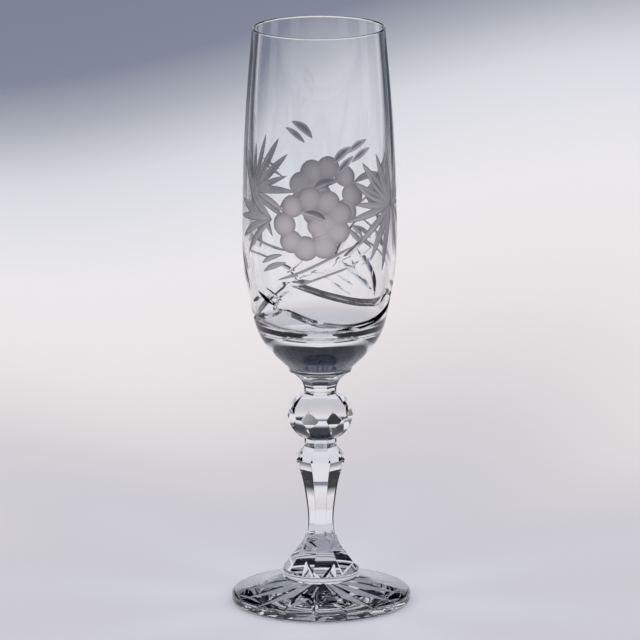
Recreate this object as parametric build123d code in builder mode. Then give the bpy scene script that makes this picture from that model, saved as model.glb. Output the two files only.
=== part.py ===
"""Cut-crystal champagne flute: a blown bowl on a stack of solid cut pieces and a star-cut foot.

The glass stands on the plane z = 0 with its axis along +Z. Each piece is one gather of glass, and
the pieces are joined hot, face to face, at flat joints across the axis. The collar, knop, stem and
bell are cut with eight panels, and one panel of each of the upper three faces -Y.
"""

import os
from math import cos, radians, sin

from build123d import *

# Heights of the joints between the pieces, from the table up
foot_top = 9.6
bell_top = 24.7
stem_top = 60.3
knop_top = 80.3
collar_top = 88.9
flute_height = 215.0

# Foot, with its star: each ray is a V groove that grows deeper and wider towards the axis
foot_radius = 33.0
foot_edge_height = 3.7
foot_edge_round = 1.2
foot_seat_radius = 14.3
foot_shoulder = (24.0, 5.4)
star_rays = 16
star_radius = 31.4
star_depth = 3.0
star_flank_slope = 0.55
star_turn = -95.0

# Bell, whose panels are turned a little from those of the stem
bell_turn = 10.0
bell_rim_radius = 13.9
bell_rim_top = 11.9
bell_rim_round = 0.8
bell_panel_foot = (13.3, bell_rim_top)
bell_break = (8.3, 19.2)
bell_waist = (6.2, 22.4)
bell_neck = 5.4

# Stem: distance of the panels from the axis, up the long flank, over the shoulder and to the neck
panels = 8
stem_foot = 5.4
stem_flank = [(4.65, 30.3), (5.2, 37.9), (6.4, 45.5)]
stem_shoulder = (8.9, 54.1)
stem_neck = (5.8, 58.9)
neck = 5.85

# Knop
knop_lower_neck = 61.9
knop_lower_mid = (10.4, 66.5)
knop_widest = (12.0, 70.7)
knop_upper_mid = (10.5, 74.3)
knop_upper_neck = 78.8
diamond_distance = 11.65
diamond_turn = 5.0

# Collar
collar_flare = [(6.25, 82.6), (7.6, 84.9)]
collar_panel_top = (11.3, 87.6)
collar_lip_radius = 11.8
collar_lip_round = 0.35

# Bowl, as (radius, height) from its base up to the rim
bowl_base_radius = 11.9
bowl_outer = [(18.2, 95.1), (22.8, 102.3), (25.5, 113.4), (27.5, 124.8), (28.2, 142.0), (27.15, 177.0)]
bowl_floor = 101.8
bowl_inner = [
    (13.0, 102.5), (18.1, 103.5), (22.1, 106.2), (23.5, 111.5), (25.8, 124.8), (26.65, 142.0),
    (26.05, 177.0),
]
rim_radius = 24.3
rim_thickness = 0.95
rim_round_height = 0.5

panel_angle = 360 / panels
reach = foot_radius


def upright_plane(turn):
    """A plane that holds the axis, with its own x axis turned this many degrees from +X."""
    across = (cos(radians(turn)), sin(radians(turn)), 0)
    outward = (sin(radians(turn)), -cos(radians(turn)), 0)
    return Plane(origin=(0, 0, 0), x_dir=across, z_dir=outward)


def panel_planes(turn=0.0):
    """One upright plane for each pair of opposite panels."""
    return [upright_plane(turn + panel_angle * pair) for pair in range(panels // 2)]


def side_view(edges, plane):
    """The outline of a piece seen from the side, closed down the axis and mirrored over it."""
    with BuildSketch(plane) as view:
        with BuildLine():
            flank = edges()
            add(flank)
            Polyline(flank @ 1, (0, (flank @ 1).Y), (0, (flank @ 0).Y), flank @ 0)
        make_face()
        mirror(about=Plane.YZ)
    return view.sketch


def bell_edges():
    """The bell's flank, from its rim up to the neck."""
    with BuildLine() as flank:
        Polyline((reach, foot_top), (reach, bell_rim_top), bell_panel_foot, bell_break)
        ThreePointArc(bell_break, bell_waist, (bell_neck, bell_top))
    return flank.wires()[0]


def stem_edges():
    """The stem's flank: long and hollow, then a short shoulder up to the neck."""
    with BuildLine() as flank:
        Spline((stem_foot, bell_top), *stem_flank, stem_shoulder)
        Polyline(stem_shoulder, stem_neck, (neck, stem_top))
    return flank.wires()[0]


def knop_edges():
    """The knop's flank, between its two necks."""
    with BuildLine() as flank:
        Line((neck, stem_top), (neck, knop_lower_neck))
        ThreePointArc((neck, knop_lower_neck), knop_lower_mid, knop_widest)
        ThreePointArc(knop_widest, knop_upper_mid, (neck, knop_upper_neck))
        Line((neck, knop_upper_neck), (neck, knop_top))
    return flank.wires()[0]


def collar_edges():
    """The collar's flank, which flares up from the neck and runs out under the lip."""
    with BuildLine() as flank:
        Spline((neck, knop_top), *collar_flare, collar_panel_top)
        Polyline(collar_panel_top, (reach, collar_panel_top[1]), (reach, collar_top))
    return flank.wires()[0]


# Foot: a low cone with a flat seat for the bell, and a star cut into its underside
with BuildPart() as foot:
    with BuildSketch(Plane.XZ) as foot_section:
        with BuildLine():
            Polyline((0, foot_top), (0, 0), (foot_radius, 0), (foot_radius, foot_edge_height))
            Spline((foot_radius, foot_edge_height), foot_shoulder, (foot_seat_radius, foot_top))
            Line((foot_seat_radius, foot_top), (0, foot_top))
        make_face()
    revolve(axis=Axis.Z)
    fillet(foot.edges().filter_by(GeomType.CIRCLE).group_by(SortBy.RADIUS)[-1], radius=foot_edge_round)
    ray_half_width = star_depth / star_flank_slope
    with BuildSketch(Plane.YZ) as ray_section:
        Polygon((-ray_half_width, 0), (0, star_depth), (ray_half_width, 0), align=None)
    with BuildSketch(Plane.YZ.offset(star_radius)) as ray_tip:
        Polygon((-ray_half_width, -star_depth), (0, 0), (ray_half_width, -star_depth), align=None)
    ray = loft([ray_section.sketch, ray_tip.sketch], ruled=True, mode=Mode.PRIVATE)
    with PolarLocations(0, star_rays, start_angle=star_turn):
        add(ray, mode=Mode.SUBTRACT)
foot.part.label = "foot"

# Bell: a round rim on the foot, with eight panels in two tiers above it
with BuildPart() as bell:
    with BuildSketch(Plane.XY.offset(foot_top)):
        Circle(bell_rim_radius)
    extrude(amount=bell_top - foot_top)
    for plane in panel_planes(bell_turn):
        extrude(side_view(bell_edges, plane), amount=reach, both=True, mode=Mode.INTERSECT)
    fillet(bell.edges().filter_by(GeomType.CIRCLE).sort_by(Axis.Z)[0], radius=bell_rim_round)
bell.part.label = "bell"

# Stem: an eight-sided baluster
with BuildPart() as stem:
    with BuildSketch(Plane.XY.offset(bell_top)):
        Circle(reach)
    extrude(amount=stem_top - bell_top)
    for plane in panel_planes():
        extrude(side_view(stem_edges, plane), amount=reach, both=True, mode=Mode.INTERSECT)
stem.part.label = "stem"

# Knop: an eight-sided ball, with a diamond cut where each two panels meet
with BuildPart() as knop:
    with BuildSketch(Plane.XY.offset(stem_top)):
        Circle(reach)
    extrude(amount=knop_top - stem_top)
    for plane in panel_planes():
        extrude(side_view(knop_edges, plane), amount=reach, both=True, mode=Mode.INTERSECT)
    with BuildSketch(Plane.XY.offset(stem_top)):
        RegularPolygon(diamond_distance, panels, major_radius=False, rotation=diamond_turn)
    extrude(amount=knop_top - stem_top, mode=Mode.INTERSECT)
knop.part.label = "knop"

# Collar: eight panels that flare up to a round lip under the bowl
with BuildPart() as collar:
    with BuildSketch(Plane.XY.offset(knop_top)):
        Circle(collar_lip_radius)
    extrude(amount=collar_top - knop_top)
    for plane in panel_planes():
        extrude(side_view(collar_edges, plane), amount=reach, both=True, mode=Mode.INTERSECT)
    fillet(collar.edges().filter_by(GeomType.CIRCLE).sort_by(Axis.Z)[-1], radius=collar_lip_round)
collar.part.label = "collar"

# Bowl: blown glass, thin at the fire-polished rim and solid at the base
with BuildPart() as bowl:
    with BuildSketch(Plane.XZ) as bowl_section:
        rim_shoulder = flute_height - rim_round_height
        rim_inner = rim_radius - rim_thickness
        rim_crown = (rim_radius - rim_thickness / 2, flute_height)
        with BuildLine():
            Polyline((0, bowl_floor), (0, collar_top), (bowl_base_radius, collar_top))
            Spline((bowl_base_radius, collar_top), *bowl_outer, (rim_radius, rim_shoulder))
            ThreePointArc((rim_radius, rim_shoulder), rim_crown, (rim_inner, rim_shoulder))
            Spline(
                (rim_inner, rim_shoulder),
                *reversed(bowl_inner),
                (0, bowl_floor),
                tangents=[(-0.06, -1), (-1, 0)],
            )
        make_face()
    revolve(axis=Axis.Z)
bowl.part.label = "bowl"

os.makedirs("parts", exist_ok=True)
for piece in (foot, bell, stem, knop, collar, bowl):
    export_step(piece.part, f"parts/{piece.part.label}.step")
    print(piece.part.label, round(piece.part.volume / 1000, 2), "cm3")
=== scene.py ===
"""Cut-crystal champagne flute: an engraved bowl on a panel-cut stem and a star-cut foot."""

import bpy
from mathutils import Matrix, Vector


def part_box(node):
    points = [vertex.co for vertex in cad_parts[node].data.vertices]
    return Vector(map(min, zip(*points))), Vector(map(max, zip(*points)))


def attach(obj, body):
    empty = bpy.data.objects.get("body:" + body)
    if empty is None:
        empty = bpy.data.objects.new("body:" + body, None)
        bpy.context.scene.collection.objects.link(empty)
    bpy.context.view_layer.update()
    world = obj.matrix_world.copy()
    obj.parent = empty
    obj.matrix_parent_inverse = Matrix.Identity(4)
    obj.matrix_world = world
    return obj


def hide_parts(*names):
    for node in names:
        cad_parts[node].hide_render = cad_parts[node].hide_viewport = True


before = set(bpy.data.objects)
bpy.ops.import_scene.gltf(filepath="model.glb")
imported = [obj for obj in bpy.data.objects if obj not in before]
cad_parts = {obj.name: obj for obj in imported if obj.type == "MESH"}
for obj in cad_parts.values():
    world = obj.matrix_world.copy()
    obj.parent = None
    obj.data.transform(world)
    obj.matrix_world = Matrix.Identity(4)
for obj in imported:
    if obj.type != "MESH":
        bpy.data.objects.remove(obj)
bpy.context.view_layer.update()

from copy import copy
from math import cos, hypot, pi, radians, sin, sqrt

import bmesh
import bpy
import numpy as np
from mathutils import Matrix, Vector
from mathutils.geometry import delaunay_2d_cdt

bl_info = {
    "name": "Cut-crystal champagne flute",
    "version": (1, 0, 0),
    "blender": (4, 5, 0),
    "location": "3D View > Sidebar > Flute",
    "description": "Builds a champagne flute with an engraved bowl, cut stem and star-cut foot",
    "category": "Object",
}

MM = 0.001

# ---------------------------------------------------------------------------------------------
# Helpers
# ---------------------------------------------------------------------------------------------


def linear(hex_colour):
    """An sRGB hex colour as linear red, green, blue and an alpha of 1."""
    channels = [int(hex_colour[i : i + 2], 16) / 255 for i in (1, 3, 5)]
    return [c / 12.92 if c <= 0.04045 else ((c + 0.055) / 1.055) ** 2.4 for c in channels] + [1.0]


def add_node(tree, kind, values=None, links=None, **settings):
    """A new node in a tree, with its settings, its sockets' values and what feeds them."""
    made = tree.nodes.new(kind)
    for key, value in settings.items():
        setattr(made, key, value)
    for socket, value in (values or {}).items():
        made.inputs[socket].default_value = value
    for socket, source in (links or {}).items():
        tree.links.new(source, made.inputs[socket])
    return made


def new_material(name):
    """A node material with this name and its tree, which starts empty."""
    material = bpy.data.materials.get(name) or bpy.data.materials.new(name)
    material.use_nodes = True
    material.node_tree.nodes.clear()
    return material, material.node_tree


def set_ramp(ramp, stops):
    """Gives a colour ramp these (position, hex colour) stops."""
    elements = ramp.color_ramp.elements
    elements.remove(elements[1])
    elements[0].position = stops[0][0]
    elements[0].color = linear(stops[0][1])
    for position, colour in stops[1:]:
        made = elements.new(position)
        made.color = linear(colour)


def spline(points, steps=40):
    """A natural cubic curve through points, spaced by the distance between them."""
    points = np.array(points, float)
    at = np.concatenate([[0], np.cumsum(np.hypot(*np.diff(points, axis=0).T))])
    gap = np.diff(at)
    count = len(points)
    system = np.eye(count)
    right = np.zeros((count, 2))
    for i in range(1, count - 1):
        system[i, i - 1 : i + 2] = gap[i - 1], 2 * (gap[i - 1] + gap[i]), gap[i]
        right[i] = 6 * (
            (points[i + 1] - points[i]) / gap[i] - (points[i] - points[i - 1]) / gap[i - 1]
        )
    bend = np.linalg.solve(system, right)
    curve = []
    for i in range(count - 1):
        for t in np.linspace(0, gap[i], steps, endpoint=False):
            a, b = gap[i] - t, t
            curve.append(
                (bend[i] * a**3 + bend[i + 1] * b**3) / (6 * gap[i])
                + (points[i] / gap[i] - bend[i] * gap[i] / 6) * a
                + (points[i + 1] / gap[i] - bend[i + 1] * gap[i] / 6) * b
            )
    curve.append(points[-1])
    return np.array(curve)


def round_axis(radius, angle, height):
    """A point at a radius and a height, at an angle in radians round to the right of the front."""
    return radius * sin(angle), -radius * cos(angle), height


def add_object(name, data):
    """A new object for a mesh or a camera, linked into the scene."""
    made = bpy.data.objects.new(name, data)
    bpy.context.scene.collection.objects.link(made)
    return made


def print_closed(bm, name):
    """Prints how many faces a piece has, and how many edges that don't join exactly two."""
    open_edges = sum(1 for edge in bm.edges if len(edge.link_faces) != 2)
    print(name, "faces", len(bm.faces), "open edges", open_edges)


# ---------------------------------------------------------------------------------------------
# Materials
# ---------------------------------------------------------------------------------------------

TOOTH_HEIGHT = 0.03  # mm, of the tooth that the stone wheel leaves


def crystal_material(name, wave_height, wave_length):
    """Lead crystal, clear and polished: bright glints, dark edges and a faint wave in what shows
    through it, where the surface was flamed or acid polished. The wave's sizes are in mm."""
    look = bpy.context.scene.flute_look
    material, tree = new_material(name)
    place = add_node(tree, "ShaderNodeTexCoord")
    waves = add_node(
        tree,
        "ShaderNodeTexNoise",
        values={"Scale": 1 / (wave_length * MM), "Detail": 2.0, "Roughness": 0.4},
        links={"Vector": place.outputs["Object"]},
    )
    bump = add_node(
        tree,
        "ShaderNodeBump",
        values={"Strength": 1.0, "Distance": wave_height * MM},
        links={"Height": waves.outputs["Fac"]},
    )
    glass = add_node(
        tree,
        "ShaderNodeBsdfPrincipled",
        values={
            "Base Color": look.crystal_tint,
            "Roughness": 0.0,
            "IOR": look.crystal_ior,
            "Specular IOR Level": 0.25,
            "Transmission Weight": 1.0,
        },
        links={"Normal": bump.outputs["Normal"]},
    )
    add_node(tree, "ShaderNodeOutputMaterial", links={"Surface": glass.outputs["BSDF"]})
    return material


def frosted_material(name, shades):
    """Crystal left matt by the engraver's stone wheel: a fine grey tooth that half hides what is
    behind, with painted shade: darker along the edges and the spines of the cuts. Shades are (depth
    in mm, colour)."""
    look = bpy.context.scene.flute_look
    material, tree = new_material(name)
    place = add_node(tree, "ShaderNodeTexCoord")
    tooth = add_node(
        tree,
        "ShaderNodeTexNoise",
        values={"Scale": 1 / look.tooth_size, "Detail": 3.0, "Roughness": 0.6},
        links={"Vector": place.outputs["Object"]},
    )
    bump = add_node(
        tree,
        "ShaderNodeBump",
        values={"Strength": 0.5, "Distance": TOOTH_HEIGHT * MM},
        links={"Height": tooth.outputs["Fac"]},
    )
    deepest = shades[-1][0]
    painted_shade_depth = add_node(tree, "ShaderNodeAttribute", attribute_name="painted_shade_depth")
    share = add_node(
        tree,
        "ShaderNodeMath",
        operation="DIVIDE",
        values={1: deepest * MM},
        links={0: painted_shade_depth.outputs["Fac"]},
    )
    # painted shade: each point's colour is read from the depth that sets its painted shade
    ramp = add_node(tree, "ShaderNodeValToRGB", links={"Fac": share.outputs[0]})
    set_ramp(ramp, [(level / deepest, colour) for level, colour in shades])
    glass = add_node(
        tree,
        "ShaderNodeBsdfPrincipled",
        values={
            "Roughness": look.frost_roughness,
            "IOR": look.crystal_ior,
            "Transmission Weight": look.frost_clearness,
        },
        links={"Normal": bump.outputs["Normal"], "Base Color": ramp.outputs["Color"]},
    )
    add_node(tree, "ShaderNodeOutputMaterial", links={"Surface": glass.outputs["BSDF"]})
    return material


def joint_material():
    """The face where two gathers of hot glass became one: nothing shows there."""
    material, tree = new_material("fused joint")
    clear = add_node(tree, "ShaderNodeBsdfTransparent")
    add_node(tree, "ShaderNodeOutputMaterial", links={"Surface": clear.outputs["BSDF"]})
    return material


# ---------------------------------------------------------------------------------------------
# Bowl: its outline, and the cuts in its outer wall
# ---------------------------------------------------------------------------------------------

LIP_ROUND = 0.35  # mm, of the edge of the collar's lip
BELL_RIM_ROUND = 0.8  # mm, of the edge of the bell's rim
BOWL_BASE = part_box("bowl")[0].z / MM
BOWL_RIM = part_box("bowl")[1].z / MM
JOINT_RADIUS = 11.45  # mm, of the joint between the collar and the bowl

# (radius, height over the base) in mm, up the outside and down the inside
OUTER_WALL = [
    (11.9, 0), (18.2, 6.2), (22.8, 13.4), (25.5, 24.5), (27.5, 35.9), (28.2, 53.1),
    (27.15, 88.1), (24.3, 125.6),
]
INNER_WALL = [
    (23.35, 125.6), (26.05, 88.1), (26.65, 53.1), (25.8, 35.9), (23.5, 22.6), (22.1, 17.3),
    (18.1, 14.6), (13.0, 13.6), (5.8, 13.1), (0, 12.9),
]
WALL, POLISHED, PETAL, BLADE = range(4)  # how each face of the wall was made
GLASS_SLOT, PETAL_SLOT, BLADE_SLOT, JOINT_SLOT = range(4)  # the bowl's material slots
COLUMNS = 144  # round the bowl
ROW_BANDS = ((10, 20), (18, 8), (OUTER_WALL[-1][1], 53))  # height over the base to which, rows
SEAM = 101.25  # degrees from the front to where the two ends of the unrolled wall meet
MM_PER_DEGREE = 0.48  # of the unrolled wall
POINT_GAP = 2e-4  # mm, under which two points of the unrolled wall are one
LEAST_DEPTH = 2e-3  # mm
WELD = 2e-6  # m
CREASE = radians(17)  # between two faces that meet in a sharp edge

DISH_EDGE = 36  # points
DISH_RINGS = ((0.3, 7), (0.6, 14), (0.85, 20))  # share of the radius, points
DISH_STEP = 0.1  # mm, straight down from the wall at the edge
GROOVE_STEPS = 8  # between two points of a path

# how steep the flanks of each kind of groove are
PALM_SLOPE = 0.36
LEAF_SLOPE = 0.42
BUD_SLOPE = 0.35
FINE_SLOPE = 1.4
BORDER_SLOPE = 0.8
# painted shade: the buds and the flower's heart are painted darker, their shade read at this many
# times their depth
BUD_SHADE_GAIN = 2.14
HEART_SHADE_GAIN = 1.57

outer_curve = spline(OUTER_WALL)


def wall_radius(height):
    """The outer radius of the bowl at a height over the table, in millimetres."""
    return np.interp(np.asarray(height) - BOWL_BASE, outer_curve[:, 1], outer_curve[:, 0])


def on_sheet(angle, height):
    """A point on the unrolled wall, from degrees round to the right of the front and a height."""
    return np.array([angle * MM_PER_DEGREE, height])


class Cut:
    """A cut in the unrolled wall, placed by one point or by the points of its path, in mm."""

    kind = POLISHED
    # factor on a cut's depth that sets its painted shade
    tone = 1.0

    def shifted(self, turn):
        """The same cut, this many degrees further round."""
        other = copy(self)
        other.place = self.place + on_sheet(turn, 0)
        return other


class Dish(Cut):
    """A round hollow ground with the edge of a small stone wheel."""

    kind = PETAL

    def __init__(self, angle, height, radius, depth=0.34):
        self.place = on_sheet(angle, height)
        self.radius = radius
        self.depth = depth

    def ring(self, share, count):
        turns = np.linspace(0, 2 * pi, count, endpoint=False)
        return self.place + share * self.radius * np.stack([np.cos(turns), np.sin(turns)], 1)

    def outlines(self):
        """A closed outline, the lines inside it and the loose points inside it."""
        return self.ring(1.0, DISH_EDGE), [], np.concatenate([self.ring(*r) for r in DISH_RINGS])

    def reach(self):
        return self.place - self.radius, self.place + self.radius

    def depth_at(self, points):
        share = np.hypot(*(points - self.place).T) / self.radius
        return np.where(share < 1, self.depth * (1 - share**2) + DISH_STEP * (share < 0.9999), 0)


class Groove(Cut):
    """A V groove along a path, pointed at both ends. Its painted shade is read at its depth times a
    given factor, and its taper is the share of its length that each point takes."""

    def __init__(self, path, width, slope=0.6, kind=POLISHED, taper=0.5, tone=1.0):
        points = np.array([on_sheet(*point) for point in path])
        if len(path) > 2:
            self.place = spline(points, GROOVE_STEPS)
        else:
            self.place = np.linspace(points[0], points[1], GROOVE_STEPS + 1)
        self.width = width
        self.slope = slope
        self.kind = kind
        self.tone = tone
        along = np.concatenate([[0], np.cumsum(np.hypot(*np.diff(self.place, axis=0).T))])
        share = along / along[-1]
        end = np.minimum(share, 1 - share) / taper
        self.half = width / 2 * np.sin(np.clip(end, 0, 1) * pi / 2) ** 0.8

    def outlines(self):
        """A closed outline, the lines inside it and the loose points inside it."""
        way = np.gradient(self.place, axis=0)
        way /= np.hypot(*way.T)[:, None]
        side = np.stack([-way[:, 1], way[:, 0]], 1) * self.half[:, None]
        loop = np.concatenate([self.place + side, (self.place - side)[-2:0:-1]])
        return loop, [self.place], np.empty((0, 2))

    def reach(self):
        return self.place.min(0) - self.width / 2, self.place.max(0) + self.width / 2

    def depth_at(self, points):
        best = np.zeros(len(points))
        for a, b, wide_a, wide_b in zip(self.place, self.place[1:], self.half, self.half[1:]):
            step = b - a
            share = np.clip((points - a) @ step / (step @ step), 0, 1)
            far = np.hypot(*(points - a - share[:, None] * step).T)
            best = np.maximum(best, wide_a + (wide_b - wide_a) * share - far)
        return best * self.slope


def bowed(start, end, width, bow=0.0, **more):
    """A leaf: a groove between two points, bowed to its left by this many millimetres."""
    a, b = on_sheet(*start), on_sheet(*end)
    way = (b - a) / np.hypot(*(b - a))
    middle = (a + b) / 2 + bow * np.array([-way[1], way[0]])
    middle = (middle[0] / MM_PER_DEGREE, middle[1])
    return Groove([start, middle, end], width, **more)


def flower_spray(buds):
    """The flower, its leaves and the two palm fans that fill half of the way round. A point is
    (degrees, height), and a bud is its two ends, its width and its bow."""
    cuts = []
    # petals, each with its radius
    for petal in (
        (-20.5, 154.2, 4.1), (-7, 157.2, 4.3), (6, 155.8, 4.4), (15.2, 151.4, 4.4),
        (-27, 147.3, 4.4), (-21.5, 141.2, 4.3), (-10.5, 138.9, 4.6), (3.5, 139.8, 4.6),
        (13.4, 145, 4.5), (-1, 147.3, 3.9), (6.5, 148.4, 3.8), (2, 144.5, 3.8),
    ):
        cuts.append(Dish(*petal))
    # heart of the flower, and two fine cuts along it
    heart = ((-15.5, 152), (8, 147.6), 3.8, 2.0)
    cuts.append(bowed(*heart, slope=BUD_SLOPE, kind=BLADE, tone=HEART_SHADE_GAIN))
    for line in (((-14, 151.6), (12, 146.6), 0.8, 0.2), ((-10, 141.6), (12.5, 146.4), 0.8, -0.5)):
        cuts.append(bowed(*line, slope=FINE_SLOPE, kind=BLADE))
    for bud in buds:
        cuts.append(bowed(*bud, slope=BUD_SLOPE, kind=BLADE, tone=BUD_SHADE_GAIN))
    # small leaves to the right of the flower, and under it to the left
    for leaf in (
        ((23.7, 147.4), (33.2, 142.6), 1.6, 0.2), ((21.6, 145.8), (31.2, 140.2), 1.9, 0.2),
        ((-48, 131.7), (-28.6, 136), 1.9, 0.6), ((-47, 128.6), (-25.2, 133.2), 2.1, 0.6),
    ):
        cuts.append(bowed(*leaf, slope=LEAF_SLOPE, kind=BLADE))
    # palm fan to the right, from its root to the tip of each blade, with its width and its bow
    palm = (67, 152)
    for tip, width, bow in (
        ((34, 169.5), 3.8, 1.0), ((25.5, 163), 3.6, 1.2), ((26, 154.6), 2.6, 0.4),
        ((18.5, 148), 3.0, -0.4), ((29, 139), 3.0, -0.8), ((40.5, 132.6), 3.2, -1.0),
        ((54, 128), 3.2, -1.0), ((48, 172), 3.0, 0.8), ((62, 170), 2.8, 0.4),
        ((84, 168), 2.8, -0.8), ((94, 160), 2.8, -0.8), ((97, 151), 2.6, 0.5),
        ((91, 141), 2.8, 0.8), ((78, 131), 2.8, 0.8),
    ):
        cuts.append(bowed(palm, tip, width, bow, slope=PALM_SLOPE, kind=BLADE))
    for start, end in (((49.5, 161), (30, 154.4)), ((53, 163.6), (33, 157.4))):
        cuts.append(bowed(start, end, 1.1, slope=0.7, kind=BLADE))
    # spray to the left, which grows out from beside the flower
    root = (-37.5, 148.6)
    for tip, width, bow in (
        ((-76, 173), 3.0, 2.2), ((-66, 162), 3.2, 1.6), ((-80, 153.5), 3.0, 0.8),
        ((-82, 146.5), 2.8, -0.6), ((-76, 139), 2.8, -1.0), ((-66, 134), 2.4, -0.8),
    ):
        cuts.append(bowed(root, tip, width, bow, slope=PALM_SLOPE, kind=BLADE))
    cuts.append(bowed((-55, 157.6), (-27.5, 152), 2.6, 0.8, slope=PALM_SLOPE, kind=BLADE))
    return cuts


def lower_border():
    """The scallop round the foot of the bowl and the arch over it, for a third of the way round."""
    cuts = [
        Groove(
            [(-31, 115), (-16, 112.4), (0, 110), (14, 108.8), (29, 108.3), (44, 108.8),
             (58, 110), (74, 112.4), (89, 115)],
            2.5, slope=0.85, taper=0.06,
        ),
        Groove([(-27, 125.2), (-10, 128.4), (7, 132), (24.5, 135.4)], 5.2, slope=0.08, taper=0.3),
        Groove(
            [(-34, 126.2), (-15, 129.8), (5, 134.6), (26, 139.4)],
            1.0, slope=BORDER_SLOPE, kind=BLADE, taper=0.2,
        ),
        Groove(
            [(-18, 124.4), (-4, 127.2), (10, 129.6), (23, 131.6)],
            0.8, slope=BORDER_SLOPE, kind=BLADE, taper=0.2,
        ),
        Groove([(28, 139), (37.4, 132.4), (44.5, 126.6), (48, 119)], 2.0, slope=0.7, taper=0.3),
        Groove([(16, 134), (25, 130.2), (34.5, 125.9), (43.5, 121.8)], 2.0, slope=0.7, taper=0.3),
    ]
    for start, end, width in (
        ((20.5, 130.2), (30.5, 133.8), 1.0), ((24, 134.4), (27.4, 129.4), 1.0),
        ((8.5, 126.8), (24, 121.2), 0.9), ((12, 129.6), (25.8, 124.6), 0.9),
        ((-39, 118.8), (-24, 122.4), 1.6), ((-48, 118.6), (-36, 116), 1.7),
        ((-70, 115.2), (-51.5, 119), 1.5), ((-57, 120.5), (-40, 116.2), 1.9),
        ((-46, 122.6), (-31, 118.4), 1.5), ((-42, 113.4), (-33, 119.6), 1.7),
    ):
        cuts.append(bowed(start, end, width, slope=BORDER_SLOPE))
    return cuts


def all_cuts():
    """Every cut on the wall: two sprays and three lengths of border."""
    cuts = []
    front_buds = (
        ((10.5, 169.6), (25.6, 175.6), 3.1, 0.9), ((12.8, 165.6), (26.6, 172.4), 2.6, 0.3),
        ((22.2, 173.4), (38.8, 177.6), 2.5, 0.6), ((25, 170), (41.7, 174.6), 2.5, 0.4),
    )
    back_buds = (
        ((5.5, 168.2), (22.6, 175.3), 3.0, 1.0), ((11.6, 166.7), (28, 173.3), 2.2, 0.4),
    )
    for turn, buds in ((0, front_buds), (180, back_buds)):
        cuts += [cut.shifted(turn) for cut in flower_spray(buds)]
    for turn in (0, 120, 240):
        cuts += [cut.shifted(turn) for cut in lower_border()]
    return cuts


def wall_lines(cuts, low, high):
    """The points and edges that the unrolled wall must have: a grid's, and those of every cut."""
    heights = []
    start = low[1]
    for top, count in ROW_BANDS:
        heights += list(np.linspace(start, low[1] + top, count + 1)[:-1])
        start = low[1] + top
    heights.append(high[1])
    across = np.linspace(low[0], high[0], COLUMNS + 1)
    points = [np.array([(x, y) for y in heights for x in across])]
    edges = []
    count = len(points[0])
    width = COLUMNS + 1
    top_row = count - width
    for start in range(0, top_row, width):
        edges += [(start, start + width), (start + width - 1, start + 2 * width - 1)]
    for column in range(COLUMNS):
        edges += [(column, column + 1), (top_row + column, top_row + column + 1)]
    for cut in cuts:
        outline, lines, loose = cut.outlines()
        for line in [outline, *lines]:
            points.append(line)
            edges += [(count + i, count + i + 1) for i in range(len(line) - 1)]
            if line is outline:
                edges.append((count + len(line) - 1, count))
            count += len(line)
        points.append(loose)
        count += len(loose)
    return np.concatenate(points), edges


def wall_sheet():
    """The outer wall, unrolled and cut into triangles along the outline of every cut.

    Its x runs in radians to the right of the front and its y is the height in metres. Each point
    keeps the wall's radius, how deep it is cut and the depth that sets its painted shade, and each
    face keeps how it was made."""
    low, high = on_sheet(SEAM - 360, BOWL_BASE), on_sheet(SEAM, BOWL_BASE + OUTER_WALL[-1][1])
    margin = 0.5
    cuts = []
    for cut in all_cuts():
        for turn in (-720, -360, 0, 360):
            moved = cut.shifted(turn)
            start, end = moved.reach()
            if end[0] > low[0] - margin and start[0] < high[0] + margin:
                cuts.append(moved)
    points, edges = wall_lines(cuts, low, high)
    flat = [Vector(point) for point in points]
    verts, _, faces, _, _, _ = delaunay_2d_cdt(flat, edges, [], 0, POINT_GAP)
    place = np.array([v[:] for v in verts], float)
    faces = np.array(faces)
    middle = place[faces].mean(1)
    inside = ((middle > low) & (middle < high)).all(1)
    faces, middle = faces[inside], middle[inside]
    depth, shade = np.zeros(len(place)), np.zeros(len(place))
    made_by = np.full(len(faces), WALL)
    deepest = np.zeros(len(faces))
    margin = 0.1
    for cut in cuts:
        start, end = cut.reach()
        near = np.flatnonzero(((place > start - margin) & (place < end + margin)).all(1))
        sunk = cut.depth_at(place[near])
        depth[near] = np.maximum(depth[near], sunk)
        # painted shade: each point's depth times its cut's factor, which sets the colour of the
        # frosted cuts
        shade[near] = np.maximum(shade[near], sunk * cut.tone)
        near = np.flatnonzero(((middle > start - margin) & (middle < end + margin)).all(1))
        sunk = cut.depth_at(middle[near])
        deeper = sunk > np.maximum(deepest[near], 1e-4)
        deepest[near[deeper]] = sunk[deeper]
        made_by[near[deeper]] = cut.kind
    depth[depth < LEAST_DEPTH] = 0
    used, index = np.unique(faces, return_inverse=True)
    place, depth, shade = place[used], depth[used], shade[used]
    mesh = bpy.data.meshes.new("bowl wall sheet")
    angle = np.radians(place[:, 0] / MM_PER_DEGREE)
    flat = np.stack([angle, place[:, 1] * MM, 0 * angle], 1)
    mesh.from_pydata(flat.tolist(), [], index.reshape(-1, 3).tolist())
    for name, values in (
        ("radius", wall_radius(place[:, 1])), ("cut_depth", depth), ("painted_shade_depth", shade)
    ):
        layer = mesh.attributes.new(name, "FLOAT", "POINT")
        layer.data.foreach_set("value", (values * MM).astype(np.float32))
    layer = mesh.attributes.new("made_by", "INT", "FACE")
    layer.data.foreach_set("value", made_by.astype(np.int32))
    return mesh


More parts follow.
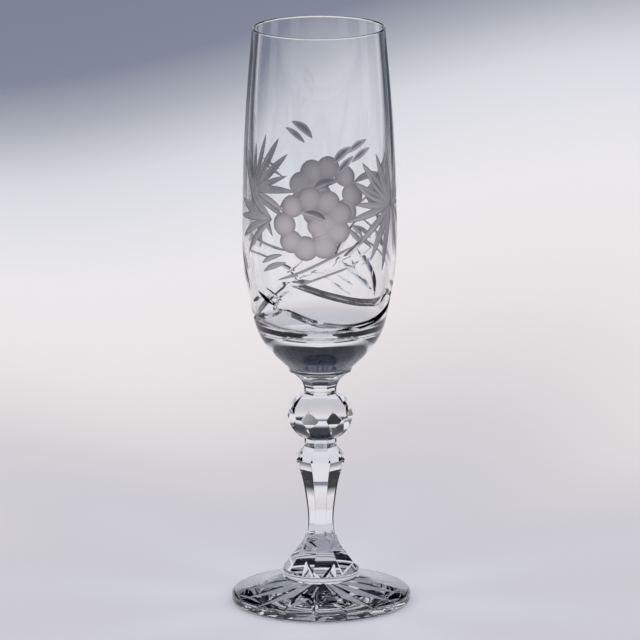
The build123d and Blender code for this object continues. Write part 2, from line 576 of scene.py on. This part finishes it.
def wrap_tree():
    """Geometry nodes that roll an unrolled wall round the axis and sink its cuts."""
    tree = bpy.data.node_groups.new("Roll wall round axis", "GeometryNodeTree")
    face = tree.interface
    face.new_socket("Sheet", in_out="INPUT", socket_type="NodeSocketGeometry")
    for name, value in (("Cut depth", 1.0), ("Seam gap", WELD)):
        socket = face.new_socket(name, in_out="INPUT", socket_type="NodeSocketFloat")
        socket.default_value = value
    for name in ("Polished", "Petals", "Blades"):
        face.new_socket(name, in_out="INPUT", socket_type="NodeSocketMaterial")
    face.new_socket("Wall", in_out="OUTPUT", socket_type="NodeSocketGeometry")
    given = add_node(tree, "NodeGroupInput")
    kept = {}
    for name, data_type in (("cut_depth", "FLOAT"), ("radius", "FLOAT"), ("made_by", "INT")):
        known = add_node(
            tree, "GeometryNodeInputNamedAttribute", values={"Name": name}, data_type=data_type
        )
        kept[name] = known.outputs["Attribute"]
    flat = add_node(tree, "GeometryNodeInputPosition")
    parts = add_node(tree, "ShaderNodeSeparateXYZ", links={"Vector": flat.outputs["Position"]})
    sunk = add_node(
        tree,
        "ShaderNodeMath",
        operation="MULTIPLY",
        links={0: kept["cut_depth"], 1: given.outputs["Cut depth"]},
    )
    radius = add_node(
        tree, "ShaderNodeMath", operation="SUBTRACT", links={0: kept["radius"], 1: sunk.outputs[0]}
    )
    places = {}
    for axis, operation in (("X", "SINE"), ("Y", "COSINE")):
        share = add_node(
            tree, "ShaderNodeMath", operation=operation, links={0: parts.outputs["X"]}
        )
        places[axis] = add_node(
            tree,
            "ShaderNodeMath",
            operation="MULTIPLY",
            links={0: radius.outputs[0], 1: share.outputs[0]},
        )
    front = add_node(
        tree,
        "ShaderNodeMath",
        operation="MULTIPLY",
        values={1: -1.0},
        links={0: places["Y"].outputs[0]},
    )
    rolled = add_node(
        tree,
        "ShaderNodeCombineXYZ",
        links={"X": places["X"].outputs[0], "Y": front.outputs[0], "Z": parts.outputs["Y"]},
    )
    placed = add_node(
        tree,
        "GeometryNodeSetPosition",
        links={"Geometry": given.outputs["Sheet"], "Position": rolled.outputs["Vector"]},
    )
    closed = add_node(
        tree,
        "GeometryNodeMergeByDistance",
        links={"Geometry": placed.outputs["Geometry"], "Distance": given.outputs["Seam gap"]},
    )
    real = add_node(
        tree, "GeometryNodeRealizeInstances", links={"Geometry": closed.outputs["Geometry"]}
    )
    finished = add_node(
        tree,
        "GeometryNodeSetMaterial",
        links={"Geometry": real.outputs["Geometry"], "Material": given.outputs["Polished"]},
    )
    for kind, name in ((PETAL, "Petals"), (BLADE, "Blades")):
        chosen = add_node(
            tree,
            "FunctionNodeCompare",
            data_type="INT",
            operation="EQUAL",
            values={3: kind},
            links={2: kept["made_by"]},
        )
        finished = add_node(
            tree,
            "GeometryNodeSetMaterial",
            links={
                "Geometry": finished.outputs["Geometry"],
                "Selection": chosen.outputs["Result"],
                "Material": given.outputs[name],
            },
        )
    add_node(tree, "NodeGroupOutput", links={"Wall": finished.outputs["Geometry"]})
    return tree


def rolled_wall(sheet, given):
    """The unrolled wall made round, as a plain mesh, from what the tree's inputs are given."""
    flat = add_object("bowl wall", sheet)
    tree = wrap_tree()
    modifier = flat.modifiers.new("Roll", "NODES")
    modifier.node_group = tree
    for item in tree.interface.items_tree:
        if item.in_out == "INPUT" and item.name in given:
            modifier[item.identifier] = given[item.name]
    bpy.context.view_layer.update()
    seen = flat.evaluated_get(bpy.context.evaluated_depsgraph_get())
    wall = bpy.data.meshes.new_from_object(seen)
    bpy.data.objects.remove(flat)
    return wall


def turned_ring(radius, height):
    """The points of one ring round the axis, in metres; a radius of 0 gives one point on it."""
    if radius < 1e-6:
        return [(0.0, 0.0, height * MM)]
    angles = [radians(SEAM) + 2 * pi * column / COLUMNS for column in range(COLUMNS)]
    return [round_axis(radius * MM, angle, height * MM) for angle in angles]


def add_turned(bm, rows, slot, turned):
    """Skins rows of (radius, height) into a mesh, and marks every new face as turned."""
    rings = [[bm.verts.new(point) for point in turned_ring(*row)] for row in rows]
    for low_ring, high_ring in zip(rings, rings[1:]):
        for i in range(COLUMNS):
            j = (i + 1) % COLUMNS
            if len(low_ring) == 1:
                corners = [low_ring[0], high_ring[j], high_ring[i]]
            elif len(high_ring) == 1:
                corners = [low_ring[i], low_ring[j], high_ring[0]]
            else:
                corners = [low_ring[i], low_ring[j], high_ring[j], high_ring[i]]
            face = bm.faces.new(corners)
            face.material_index = slot
            face.smooth = True
            face[turned] = 1


def rim_rows():
    """The fire-polished rim, from the outer wall over to the inner one."""
    outer = (OUTER_WALL[-1][0], BOWL_BASE + OUTER_WALL[-1][1])
    inner = (INNER_WALL[0][0], outer[1])
    middle = (outer[0] + inner[0]) / 2
    half = (outer[0] - inner[0]) / 2
    rise = BOWL_RIM - outer[1]
    turns = [pi * step / 10 for step in range(11)]
    return [(middle + half * cos(turn), outer[1] + rise * sin(turn)) for turn in turns]


def inner_rows():
    """The inner wall, from the rim down to the middle of the floor."""
    curve = spline(INNER_WALL, 12)
    rows = [(max(r, 0), h + BOWL_BASE) for r, h in curve]
    # short rows below the rim keep its roundness out of the wall
    first, second = np.array(rows[0]), np.array(rows[1])
    rows[1:1] = [tuple(first + (second - first) * share) for share in (0.03, 0.1, 0.4)]
    rows[-1] = (0, rows[-1][1])
    return rows


def face_values(mesh, name):
    """What each face of a mesh keeps under this name."""
    values = np.empty(len(mesh.polygons), np.int32)
    mesh.attributes[name].data.foreach_get("value", values)
    return values


def finish_normals(mesh):
    """Gives the uncut faces of the outer wall its true normals, and leaves the rest as they are."""
    places = np.empty(len(mesh.vertices) * 3)
    mesh.vertices.foreach_get("co", places)
    places = places.reshape(-1, 3)
    normals = np.empty(len(mesh.loops) * 3, np.float32)
    mesh.corner_normals.foreach_get("vector", normals)
    normals = normals.reshape(-1, 3)
    uncut = (face_values(mesh, "made_by") == WALL) & (face_values(mesh, "turned") == 0)
    slope = np.gradient(outer_curve[:, 0], outer_curve[:, 1])
    for index in np.flatnonzero(uncut).tolist():
        for corner in mesh.polygons[index].loop_indices:
            x, y, z = places[mesh.loops[corner].vertex_index]
            lean = np.interp(z / MM - BOWL_BASE, outer_curve[:, 1], slope)
            size = sqrt(1 + lean * lean)
            normals[corner] = x / hypot(x, y) / size, y / hypot(x, y) / size, -lean / size
    mesh.normals_split_custom_set(normals.tolist())


def build_bowl():
    """The bowl: engraved outer wall, rim, inner wall and the joint to the collar."""
    look = bpy.context.scene.flute_look
    polished = crystal_material("fire-polished lead crystal", wave_height=0.012, wave_length=14.0)
    # both colour ramps are painted shade: the petals darker at their rims and lighter in their
    # middles, the V cuts darker along their edges and spines
    petals = frosted_material(
        "stone-ground petals",
        [(0.0, "#8b8489"), (0.12, "#9b9499"), (0.25, "#b8b1b5"), (0.36, "#c8c3c6"),
         (0.45, "#d0cbce")],
    )
    blades = frosted_material(
        "unpolished V cuts",
        [(0.0, "#66646c"), (0.1, "#98969d"), (0.2, "#bcbac1"), (0.48, "#b2b0b7"),
         (0.65, "#6f6d75")],
    )
    wall = rolled_wall(wall_sheet(), {
        "Cut depth": look.cut_depth, "Polished": polished, "Petals": petals, "Blades": blades,
    })
    bm = bmesh.new()
    bm.from_mesh(wall)
    turned = bm.faces.layers.int.new("turned")
    made_by = bm.faces.layers.int.get("made_by")
    for face in bm.faces:
        slot = {PETAL: PETAL_SLOT, BLADE: BLADE_SLOT}.get(face[made_by], GLASS_SLOT)
        face.material_index = slot
        face.smooth = True
    base = float(wall_radius(BOWL_BASE))
    add_turned(bm, rim_rows() + inner_rows()[1:], GLASS_SLOT, turned)
    add_turned(bm, [(JOINT_RADIUS, BOWL_BASE), (base, BOWL_BASE)], GLASS_SLOT, turned)
    add_turned(bm, [(0, BOWL_BASE), (JOINT_RADIUS, BOWL_BASE)], JOINT_SLOT, turned)
    bmesh.ops.remove_doubles(bm, verts=bm.verts, dist=WELD)
    bmesh.ops.recalc_face_normals(bm, faces=bm.faces)
    print_closed(bm, "bowl")
    for edge in bm.edges:
        if len(edge.link_faces) != 2:
            continue
        a, b = edge.link_faces
        cut_border = (a[made_by] == WALL) != (b[made_by] == WALL)
        edge.smooth = not cut_border and a.normal.angle(b.normal, 0) < CREASE
    mesh = bpy.data.meshes.new("bowl glass")
    bm.to_mesh(mesh)
    bm.free()
    for material in (polished, petals, blades, joint_material()):
        mesh.materials.append(material)
    finish_normals(mesh)
    bowl = add_object("engraved_bowl", mesh)
    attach(bowl, "root")
    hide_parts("bowl")


# ---------------------------------------------------------------------------------------------
# Stem pieces and foot
# ---------------------------------------------------------------------------------------------


JOINT_SLACK = 0.02 * MM


def at_joint(face, node, heights):
    """Whether a face is one of those where two gathers meet."""
    middle = face.calc_center_median()
    level = min(heights, key=lambda height: abs(height - middle.z))
    if abs(face.normal.z) < 0.999 or abs(level - middle.z) >= JOINT_SLACK:
        return False
    on_foot = level == heights[0]
    if on_foot and node == "foot":
        return True
    if on_foot:
        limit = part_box("bell")[1].x - BELL_RIM_ROUND * MM
    else:
        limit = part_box("collar")[1].x - LIP_ROUND * MM
    return max(hypot(v.co.x, v.co.y) for v in face.verts) <= limit + JOINT_SLACK


def solid_piece(node, name, polished, joint):
    """A solid cut piece: its own surfaces polished, and the faces of its joints fused."""
    mesh = bpy.data.objects[node].data.copy()
    mesh.name = name
    normals = np.empty(len(mesh.loops) * 3, np.float32)
    mesh.corner_normals.foreach_get("vector", normals)
    layer = mesh.attributes.new("true_normal", "FLOAT_VECTOR", "CORNER")
    layer.data.foreach_set("vector", normals)
    # the undersides of the other pieces are the heights where one gather meets the next
    heights = [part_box(other)[0].z for other in ("bell", "stem", "knop", "collar", "bowl")]
    bm = bmesh.new()
    bm.from_mesh(mesh)
    bmesh.ops.remove_doubles(bm, verts=bm.verts, dist=WELD / 2)
    print_closed(bm, node)
    for face in bm.faces:
        face.material_index = int(at_joint(face, node, heights))
    mesh.materials.clear()
    bm.to_mesh(mesh)
    bm.free()
    normals = np.empty(len(mesh.loops) * 3, np.float32)
    mesh.attributes["true_normal"].data.foreach_get("vector", normals)
    mesh.attributes.remove(mesh.attributes["true_normal"])
    for polygon in mesh.polygons:
        polygon.use_smooth = True
    mesh.normals_split_custom_set(normals.reshape(-1, 3).tolist())
    mesh.materials.append(polished)
    mesh.materials.append(joint)
    piece = add_object(name, mesh)
    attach(piece, "root")
    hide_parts(node)


# ---------------------------------------------------------------------------------------------
# Stage
# ---------------------------------------------------------------------------------------------


FLOOR_RADIUS = 5.0
FLOOR_DROP = 0.00005  # keeps the floor out of the plane of the foot's underside
ROUND_STEPS = 96
CARD_COUNT = 8
CARD_RADIUS = 0.55
CARD_HEIGHTS = (0.0005, 0.03, 0.13)  # bottom, where a card reaches its full darkness, and top
CARD_HALF = radians(14.5)
CARD_STRIPS = 24
CARD_EDGE = 6.0  # over a sixth of each half, a card fades out to its side
STRIP_RADIUS = 0.08
STRIP_HEIGHTS = (0.0005, 0.023)
CAMERA_PLACE = (0, -2.1254, 0.5974)
CAMERA_PITCH = 13.017  # degrees below the level
CAMERA_ROLL = -0.25  # degrees
CAMERA_LENS = 334.92  # mm
CAMERA_SENSOR = 36  # mm


def floor_material():
    """Matt seamless paper with painted light: nearly white round the glass and blue-grey further off,
    as the light falls off.
    """
    material, tree = new_material("seamless paper")
    place = add_node(tree, "ShaderNodeTexCoord")
    flat = add_node(tree, "ShaderNodeSeparateXYZ", links={"Vector": place.outputs["Object"]})
    far = add_node(
        tree, "ShaderNodeVectorMath", operation="LENGTH", links={"Vector": place.outputs["Object"]}
    )
    # the light falls off a little to one side, in the same way from each quarter
    turn = add_node(
        tree,
        "ShaderNodeMath",
        operation="ARCTAN2",
        links={0: flat.outputs["X"], 1: flat.outputs["Y"]},
    )
    turns = add_node(
        tree, "ShaderNodeMath", operation="MULTIPLY", values={1: 8.0}, links={0: turn.outputs[0]}
    )
    sway = add_node(tree, "ShaderNodeMath", operation="SINE", links={0: turns.outputs[0]})
    most = add_node(
        tree, "ShaderNodeMath", operation="MULTIPLY", values={1: 0.2}, links={0: far.outputs["Value"]}
    )
    reach = add_node(
        tree,
        "ShaderNodeMath",
        operation="MULTIPLY",
        links={0: most.outputs[0], 1: sway.outputs[0]},
    )
    swayed = add_node(
        tree,
        "ShaderNodeMath",
        operation="SUBTRACT",
        links={0: far.outputs["Value"], 1: reach.outputs[0]},
    )
    level = add_node(
        tree, "ShaderNodeMath", operation="MULTIPLY", values={1: 0.5}, links={0: swayed.outputs[0]}
    )
    # along the ramp, 1 is two metres from the glass
    ramp = add_node(tree, "ShaderNodeValToRGB", links={"Fac": level.outputs[0]})
    # painted light: the paper's colour rises and falls with the distance from the glass in place of
    # the light's fall-off, down to blue-grey far off
    set_ramp(ramp, [
        (0.0, "#d8dbe6"), (0.042, "#d0cfd8"), (0.072, "#cecdd4"), (0.112, "#d4d0d6"),
        (0.154, "#dedadc"), (0.21, "#e7e3e4"), (0.26, "#ebe7e8"), (0.325, "#eae8ec"),
        (0.42, "#dedfe5"), (0.461, "#d8d8df"), (0.503, "#c4c5cf"), (0.546, "#aaaeb8"),
        (0.62, "#828799"), (0.8, "#7b8193"),
    ])
    paper = add_node(tree, "ShaderNodeBsdfDiffuse", links={"Color": ramp.outputs["Color"]})
    add_node(tree, "ShaderNodeOutputMaterial", links={"Surface": paper.outputs["BSDF"]})
    return material


def card_material():
    """Black card that glows with its own colour and takes no light: it fades at its sides and foot
    into a painted copy of the colour of what is behind it.
    """
    material, tree = new_material("black card")
    known = add_node(tree, "ShaderNodeAttribute", attribute_name="darkness")
    place = add_node(tree, "ShaderNodeTexCoord")
    parts = add_node(tree, "ShaderNodeSeparateXYZ", links={"Vector": place.outputs["Object"]})
    level = add_node(
        tree,
        "ShaderNodeMapRange",
        values={1: CARD_HEIGHTS[0], 2: CARD_HEIGHTS[-1]},
        links={0: parts.outputs["Z"]},
    )
    behind = add_node(tree, "ShaderNodeValToRGB", links={"Fac": level.outputs[0]})
    set_ramp(behind, [(0.0, "#e6e3e6"), (0.5, "#dfdfe5"), (1.0, "#bcbec8")])
    shown = add_node(
        tree,
        "ShaderNodeMix",
        data_type="RGBA",
        values={7: linear("#0c0e13")},
        links={0: known.outputs["Fac"], 6: behind.outputs["Color"]},
    )
    glow = add_node(tree, "ShaderNodeEmission", links={"Color": shown.outputs[2]})
    add_node(tree, "ShaderNodeOutputMaterial", links={"Surface": glow.outputs[0]})
    return material


def strip_material():
    """White strip that glows with an even painted light and has no shading of its own."""
    material, tree = new_material("white strip")
    glow = add_node(tree, "ShaderNodeEmission", values={"Color": linear("#e2e1e8")})
    add_node(tree, "ShaderNodeOutputMaterial", links={"Surface": glow.outputs[0]})
    return material


def stage_object(name, verts, faces, material):
    """A plain mesh object for the stage."""
    mesh = bpy.data.meshes.new(name)
    mesh.from_pydata(verts, [], faces)
    mesh.materials.append(material)
    return add_object(name, mesh)


def build_floor():
    """A round sheet of paper under the glass."""
    turns = [2 * pi * i / ROUND_STEPS for i in range(ROUND_STEPS)]
    ring = [(FLOOR_RADIUS * cos(turn), FLOOR_RADIUS * sin(turn), 0) for turn in turns]
    floor = stage_object("floor", ring, [list(range(ROUND_STEPS))], floor_material())
    floor.location.z = -FLOOR_DROP
    return floor


def build_cards():
    """Dark cards round the glass, which only glass shows: they give it its dark edges."""
    verts, faces, shades = [], [], []
    full = CARD_HEIGHTS[1]
    for card in range(CARD_COUNT):
        for strip in range(CARD_STRIPS + 1):
            share = 2 * strip / CARD_STRIPS - 1
            angle = radians(360 * (card + 0.5) / CARD_COUNT) + share * CARD_HALF
            for height in CARD_HEIGHTS:
                verts.append(round_axis(CARD_RADIUS, angle, height))
                shades.append(min(1.0, CARD_EDGE * (1 - abs(share))) * min(1.0, height / full))
            if strip:
                b = len(verts)
                faces += [(b - 6, b - 3, b - 2, b - 5), (b - 5, b - 2, b - 1, b - 4)]
    cards = stage_object("dark cards", verts, faces, card_material())
    darkness = cards.data.attributes.new("darkness", "FLOAT", "POINT")
    darkness.data.foreach_set("value", np.array(shades, np.float32))
    cards.visible_glossy = False
    return cards


def build_strip():
    """A low white strip round the foot, which only glass shows: it keeps the star bright."""
    verts, faces = [], []
    for i in range(ROUND_STEPS):
        angle = 2 * pi * i / ROUND_STEPS
        x, y = STRIP_RADIUS * cos(angle), STRIP_RADIUS * sin(angle)
        verts += [(x, y, height) for height in STRIP_HEIGHTS]
        j = 2 * ((i + 1) % ROUND_STEPS)
        faces.append((2 * i, j, j + 1, 2 * i + 1))
    return stage_object("white strip", verts, faces, strip_material())


def build_world():
    """The sky: one for glass, pale at the horizon and dark overhead, a plain pale one that lights
    matt surfaces, and a plain blue-grey one where the camera sees past the floor."""
    world = bpy.data.worlds.new("studio")
    bpy.context.scene.world = world
    world.use_nodes = True
    tree = world.node_tree
    tree.nodes.clear()
    path = add_node(tree, "ShaderNodeLightPath")
    place = add_node(tree, "ShaderNodeTexCoord")
    parts = add_node(tree, "ShaderNodeSeparateXYZ", links={"Vector": place.outputs["Generated"]})
    ramp = add_node(tree, "ShaderNodeValToRGB", links={"Fac": parts.outputs["Z"]})
    # along the ramp is the sine of the height over the horizon
    set_ramp(ramp, [
        (0.0, "#e8e6ea"), (0.17, "#e8e6ea"), (0.25, "#2a3140"), (0.34, "#0d121c"),
        (0.7, "#121824"), (0.9, "#262e3e"), (1.0, "#343d50"),
    ])
    surround = add_node(
        tree, "ShaderNodeBackground", values={"Strength": 1.0}, links={"Color": ramp.outputs["Color"]}
    )
    # the light on matt surfaces comes from all round and is stronger from above
    rise = add_node(
        tree,
        "ShaderNodeMath",
        operation="MULTIPLY_ADD",
        values={1: 0.9, 2: 0.4},
        links={0: parts.outputs["Z"]},
    )
    soft = add_node(
        tree,
        "ShaderNodeBackground",
        values={"Color": linear("#ffffff")},
        links={"Strength": rise.outputs[0]},
    )
    far = add_node(
        tree, "ShaderNodeBackground", values={"Color": linear("#8a90a0"), "Strength": 1.0}
    )
    diffuse = add_node(
        tree,
        "ShaderNodeMath",
        operation="GREATER_THAN",
        values={1: 0.5},
        links={0: path.outputs["Diffuse Depth"]},
    )
    lit = add_node(
        tree,
        "ShaderNodeMixShader",
        links={0: diffuse.outputs[0], 1: surround.outputs[0], 2: soft.outputs[0]},
    )
    seen = add_node(
        tree,
        "ShaderNodeMixShader",
        links={0: path.outputs["Is Camera Ray"], 1: lit.outputs[0], 2: far.outputs[0]},
    )
    add_node(tree, "ShaderNodeOutputWorld", links={"Surface": seen.outputs[0]})


def build_camera():
    """The camera: a long lens, over the level of the rim and tilted down."""
    data = bpy.data.cameras.new("camera")
    data.lens = CAMERA_LENS
    data.sensor_width = CAMERA_SENSOR
    data.clip_end = 50
    camera = add_object("camera", data)
    pitch = Matrix.Rotation(radians(90 - CAMERA_PITCH), 4, "X")
    roll = Matrix.Rotation(radians(CAMERA_ROLL), 4, "Z")
    camera.matrix_world = Matrix.Translation(CAMERA_PLACE) @ pitch @ roll
    bpy.context.scene.camera = camera


def build_stage():
    """The floor, the cards and the strip beside the glass, the sky and the camera."""
    bpy.context.scene.view_settings.view_transform = "Standard"
    floor, cards, strip = build_floor(), build_cards(), build_strip()
    for piece in (cards, strip):
        piece.visible_camera = False
        piece.visible_diffuse = False
        piece.visible_shadow = False
    build_world()
    build_camera()


# ---------------------------------------------------------------------------------------------
# Add-on
# ---------------------------------------------------------------------------------------------


class FluteLook(bpy.types.PropertyGroup):
    """Sizes and finishes of the flute that can be changed."""

    crystal_tint: bpy.props.FloatVectorProperty(
        name="Crystal tint", description="Colour of the clear lead crystal",
        default=linear("#fbfcfd"), size=4, min=0.0, max=1.0, subtype="COLOR",
    )
    crystal_ior: bpy.props.FloatProperty(
        name="Crystal index", description="Refractive index of the lead crystal",
        default=1.545,
    )
    frost_roughness: bpy.props.FloatProperty(
        name="Frost", description="Roughness of the stone-wheel engraving", default=0.5,
        min=0.0, max=1.0, subtype="FACTOR",
    )
    frost_clearness: bpy.props.FloatProperty(
        name="Clearness", description="How much light the stone-wheel engraving lets through",
        default=0.5, min=0.0, max=1.0, subtype="FACTOR",
    )
    tooth_size: bpy.props.FloatProperty(
        name="Tooth", description="Spacing of the tooth that the stone wheel leaves",
        default=0.0003, unit="LENGTH", precision=5,
    )
    cut_depth: bpy.props.FloatProperty(
        name="Cut depth", description="Depth of the engraving as a share of its full depth",
        default=1.0, min=0.0, max=1.5, subtype="FACTOR",
    )


class FLUTE_OT_bowl(bpy.types.Operator):
    """Builds the engraved bowl"""

    bl_idname = "flute.bowl"
    bl_label = "Engraved bowl"

    def execute(self, context):
        build_bowl()
        return {"FINISHED"}


class FLUTE_OT_stem(bpy.types.Operator):
    """Builds the solid cut pieces of the stem: collar, knop, stem and bell"""

    bl_idname = "flute.stem"
    bl_label = "Cut stem"

    def execute(self, context):
        polished = crystal_material(
            "acid-polished cut crystal", wave_height=0.004, wave_length=5.0
        )
        joint = joint_material()
        for node, name in (
            ("collar", "flared_collar"), ("knop", "faceted_knop"),
            ("stem", "eight-sided_stem"), ("bell", "stem_bell"),
        ):
            solid_piece(node, name, polished, joint)
        return {"FINISHED"}


class FLUTE_OT_foot(bpy.types.Operator):
    """Builds the star-cut foot"""

    bl_idname = "flute.foot"
    bl_label = "Star-cut foot"

    def execute(self, context):
        polished = crystal_material(
            "polished star-cut crystal", wave_height=0.006, wave_length=9.0
        )
        solid_piece("foot", "star-cut_foot", polished, joint_material())
        return {"FINISHED"}


class FLUTE_OT_stage(bpy.types.Operator):
    """Sets the floor, the cards, the light and the camera"""

    bl_idname = "flute.stage"
    bl_label = "Stage"

    def execute(self, context):
        build_stage()
        return {"FINISHED"}


class FLUTE_PT_panel(bpy.types.Panel):
    """The flute's pieces and settings"""

    bl_label = "Champagne flute"
    bl_idname = "FLUTE_PT_panel"
    bl_space_type = "VIEW_3D"
    bl_region_type = "UI"
    bl_category = "Flute"

    def draw(self, context):
        look = context.scene.flute_look
        for name in FluteLook.__annotations__:
            self.layout.prop(look, name)
        for operator in (FLUTE_OT_bowl, FLUTE_OT_stem, FLUTE_OT_foot, FLUTE_OT_stage):
            self.layout.operator(operator.bl_idname)


CLASSES = (FluteLook, FLUTE_OT_bowl, FLUTE_OT_stem, FLUTE_OT_foot, FLUTE_OT_stage, FLUTE_PT_panel)


def register():
    for cls in CLASSES:
        bpy.utils.register_class(cls)
    bpy.types.Scene.flute_look = bpy.props.PointerProperty(type=FluteLook)


def unregister():
    del bpy.types.Scene.flute_look
    for cls in reversed(CLASSES):
        bpy.utils.unregister_class(cls)


def main():
    register()
    bpy.ops.flute.bowl()
    bpy.ops.flute.stem()
    bpy.ops.flute.foot()
    bpy.ops.flute.stage()


if __name__ == "__main__":
    main()
